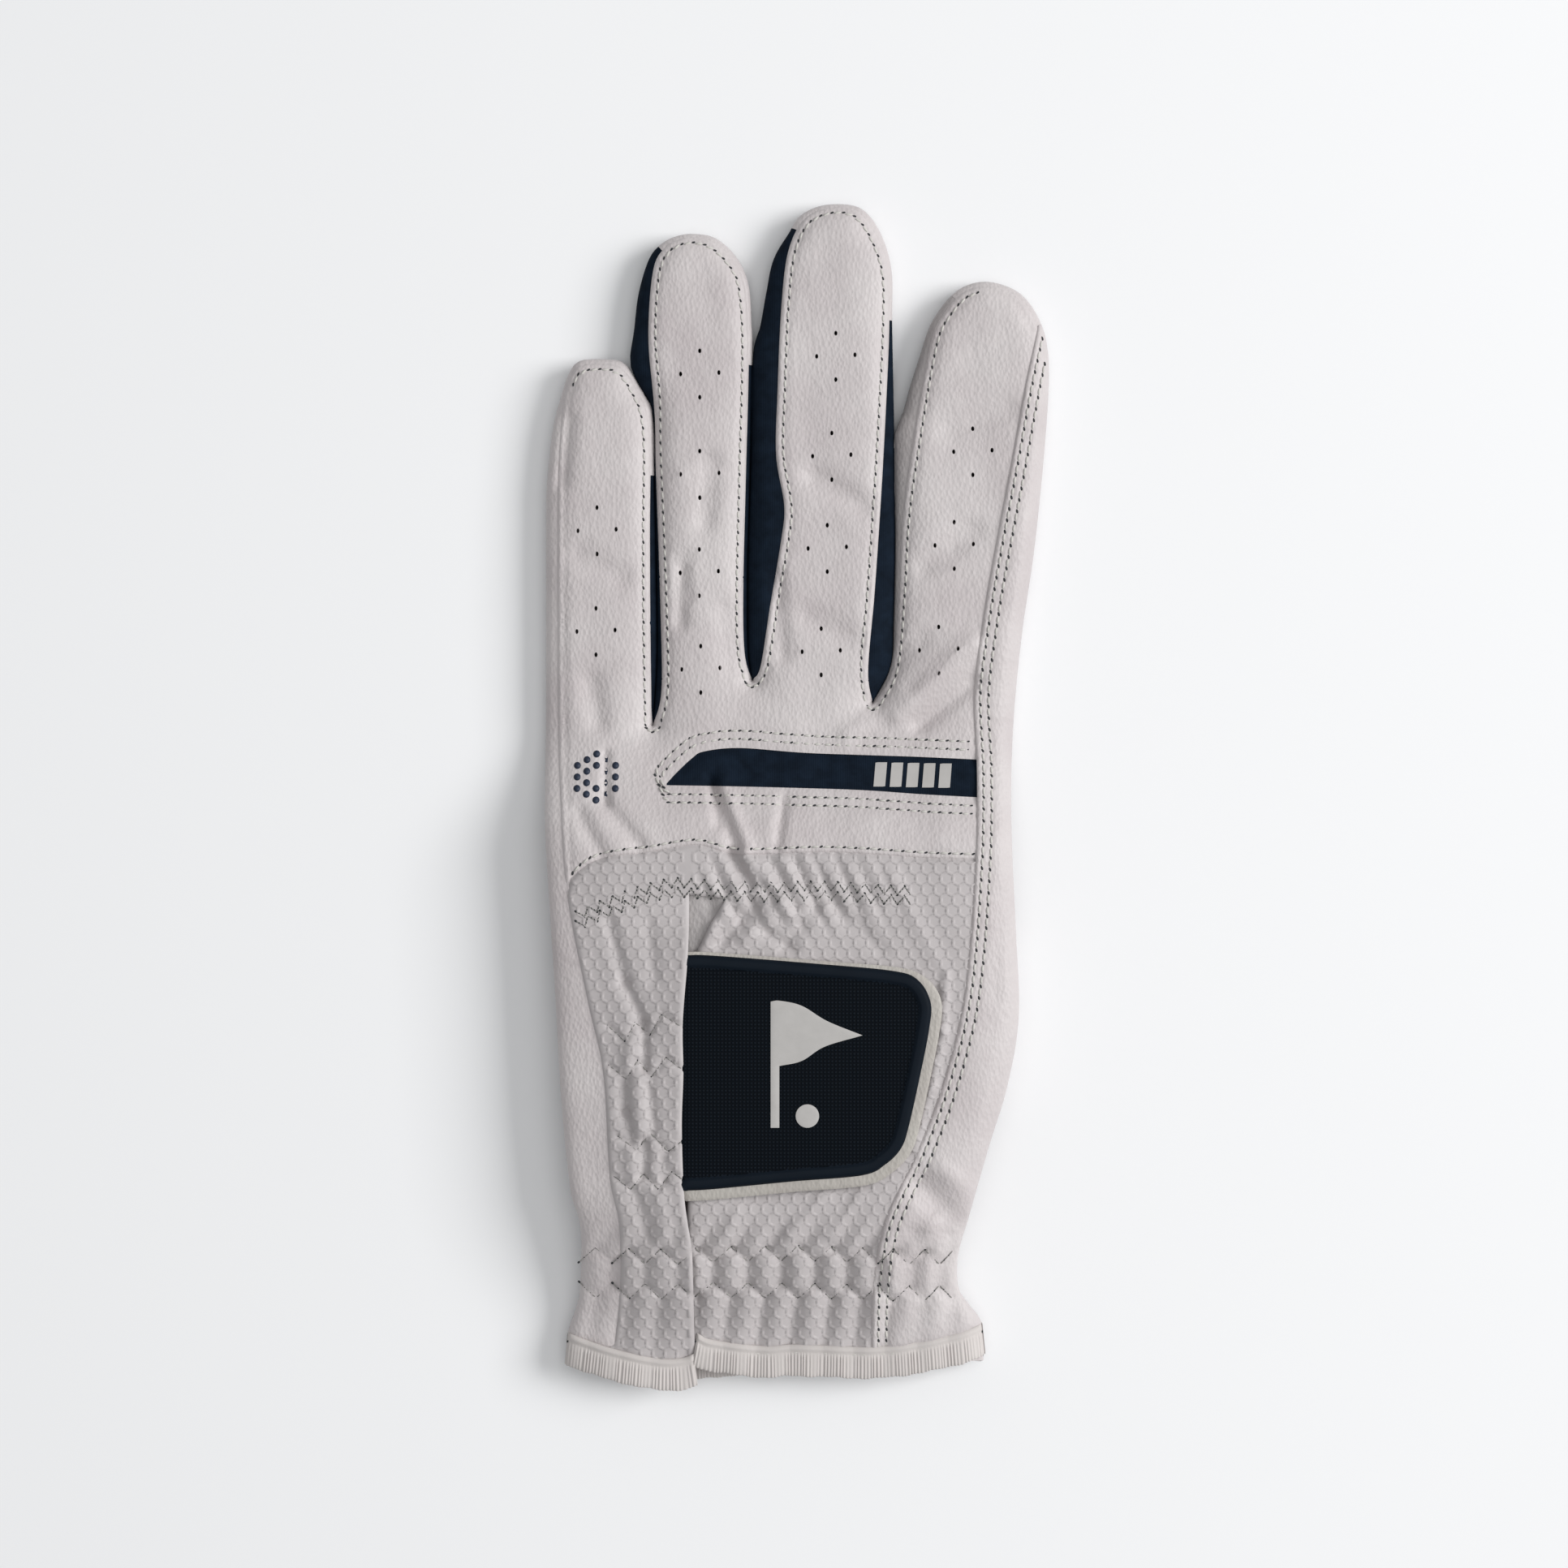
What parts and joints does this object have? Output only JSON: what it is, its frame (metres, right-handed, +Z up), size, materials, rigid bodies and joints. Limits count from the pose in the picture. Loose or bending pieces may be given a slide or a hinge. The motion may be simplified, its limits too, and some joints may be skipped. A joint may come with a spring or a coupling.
{
  "type": "golf glove",
  "caption": "Left-hand golf glove lying palm down, with bending fingers, a peel-back wrist tab and a thumb folded under the palm.",
  "frame": {"origin": "on the surface that the glove lies on, under the middle of its bounding box", "axes": "+Y towards the fingertips, +X towards the thumb side, +Z up through the back of the hand"},
  "size_m": [0.1002, 0.2344, 0.0188],
  "materials": {
    "white_leather": "soft matt sheepskin with a fine grain",
    "hex_fabric": "stretch synthetic embossed with small hexagons",
    "navy_knit": "matt stretch knit",
    "cuff_binding": "ribbed edge binding",
    "elastic_tape": "woven elastic",
    "hook_loop_tape": "hook and loop tape",
    "navy_rubber": "satin, moulded with a fine grid",
    "grey_print": "matt transfer print"
  },
  "bodies": {
    "hand": {"palm_leather": "white_leather", "thumb_side_wall": "white_leather", "little_side_wall": "white_leather", "back_leather": "white_leather", "knuckle_insert": "navy_knit", "thumb_side_wrap": "white_leather", "little_side_wrap": "white_leather", "back_fabric_right": "hex_fabric", "back_fabric_left": "hex_fabric", "knuckle_elastic": "elastic_tape", "side_elastic_upper": "elastic_tape", "side_elastic_lower": "elastic_tape", "wrist_elastic_left": "elastic_tape", "wrist_elastic_right": "elastic_tape", "slit_facing": "white_leather", "cuff_binding_palm": "cuff_binding", "cuff_binding_right": "cuff_binding", "cuff_binding_left": "cuff_binding", "loop_patch": "hook_loop_tape"},
    "closure_tab": {"tab_strap": "white_leather", "hook_patch": "hook_loop_tape", "tab_badge": "navy_rubber", "tab_emblem": "grey_print"},
    "thumb": {"thumb_under": "white_leather", "thumb_over": "white_leather", "thumb_wall_inner": "white_leather", "thumb_wall_outer": "white_leather"},
    "little_proximal": {"little_proximal_back": "white_leather", "little_proximal_palm": "white_leather", "little_proximal_side_wrap": "white_leather", "little_proximal_fourchette_right": "navy_knit"},
    "little_distal": {"little_distal_back": "white_leather", "little_distal_palm": "white_leather", "little_distal_side_wrap": "white_leather", "little_distal_fourchette_right": "navy_knit"},
    "ring_proximal": {"ring_proximal_back": "white_leather", "ring_proximal_palm": "white_leather", "ring_proximal_fourchette_left": "navy_knit", "ring_proximal_fourchette_right": "navy_knit"},
    "ring_distal": {"ring_distal_back": "white_leather", "ring_distal_palm": "white_leather", "ring_distal_fourchette_left": "navy_knit", "ring_distal_fourchette_right": "navy_knit"},
    "middle_proximal": {"middle_proximal_back": "white_leather", "middle_proximal_palm": "white_leather", "middle_proximal_fourchette_left": "navy_knit", "middle_proximal_fourchette_right": "navy_knit"},
    "middle_distal": {"middle_distal_back": "white_leather", "middle_distal_palm": "white_leather", "middle_distal_fourchette_left": "navy_knit", "middle_distal_fourchette_right": "navy_knit"},
    "index_proximal": {"index_proximal_back": "white_leather", "index_proximal_palm": "white_leather", "index_proximal_fourchette_left": "white_leather", "index_proximal_side_wrap": "white_leather"},
    "index_distal": {"index_distal_back": "white_leather", "index_distal_palm": "white_leather", "index_distal_fourchette_left": "white_leather", "index_distal_side_wrap": "white_leather"}
  },
  "joints": [
    {"name": "tab_peel", "type": "hinge", "parent": "hand", "child": "closure_tab", "pos_m": [-0.02158, -0.05442, 0.0189], "axis": [0, -1, 0], "range_deg": [0, 150]},
    {"name": "thumb_swing", "type": "hinge", "parent": "hand", "child": "thumb", "pos_m": [0.03993, -0.04572, 0.0033], "axis": [0, -1, 0], "range_deg": [0, 175]},
    {"name": "little_knuckle", "type": "hinge", "parent": "hand", "child": "little_proximal", "pos_m": [-0.03957, 0.02128, 0], "axis": [-1, 0, 0], "range_deg": [0, 85]},
    {"name": "little_middle_joint", "type": "hinge", "parent": "little_proximal", "child": "little_distal", "pos_m": [-0.03957, 0.04628, 0], "axis": [-1, 0, 0], "range_deg": [0, 95]},
    {"name": "ring_knuckle", "type": "hinge", "parent": "hand", "child": "ring_proximal", "pos_m": [-0.01918, 0.03028, 0], "axis": [-1, 0, 0], "range_deg": [0, 85]},
    {"name": "ring_middle_joint", "type": "hinge", "parent": "ring_proximal", "child": "ring_distal", "pos_m": [-0.01918, 0.05728, 0], "axis": [-1, 0, 0], "range_deg": [0, 95]},
    {"name": "middle_knuckle", "type": "hinge", "parent": "hand", "child": "middle_proximal", "pos_m": [0.00473, 0.03028, 0], "axis": [-0.9993, 0.0366, 0], "range_deg": [0, 85]},
    {"name": "middle_middle_joint", "type": "hinge", "parent": "middle_proximal", "child": "middle_distal", "pos_m": [0.00575, 0.05826, 0], "axis": [-0.9993, 0.0366, 0], "range_deg": [0, 95]},
    {"name": "index_knuckle", "type": "hinge", "parent": "hand", "child": "index_proximal", "pos_m": [0.03202, 0.02628, 0], "axis": [-0.9954, 0.0958, 0], "range_deg": [0, 85]},
    {"name": "index_middle_joint", "type": "hinge", "parent": "index_proximal", "child": "index_distal", "pos_m": [0.03452, 0.05216, 0], "axis": [-0.9954, 0.0958, 0], "range_deg": [0, 95]}
  ]
}
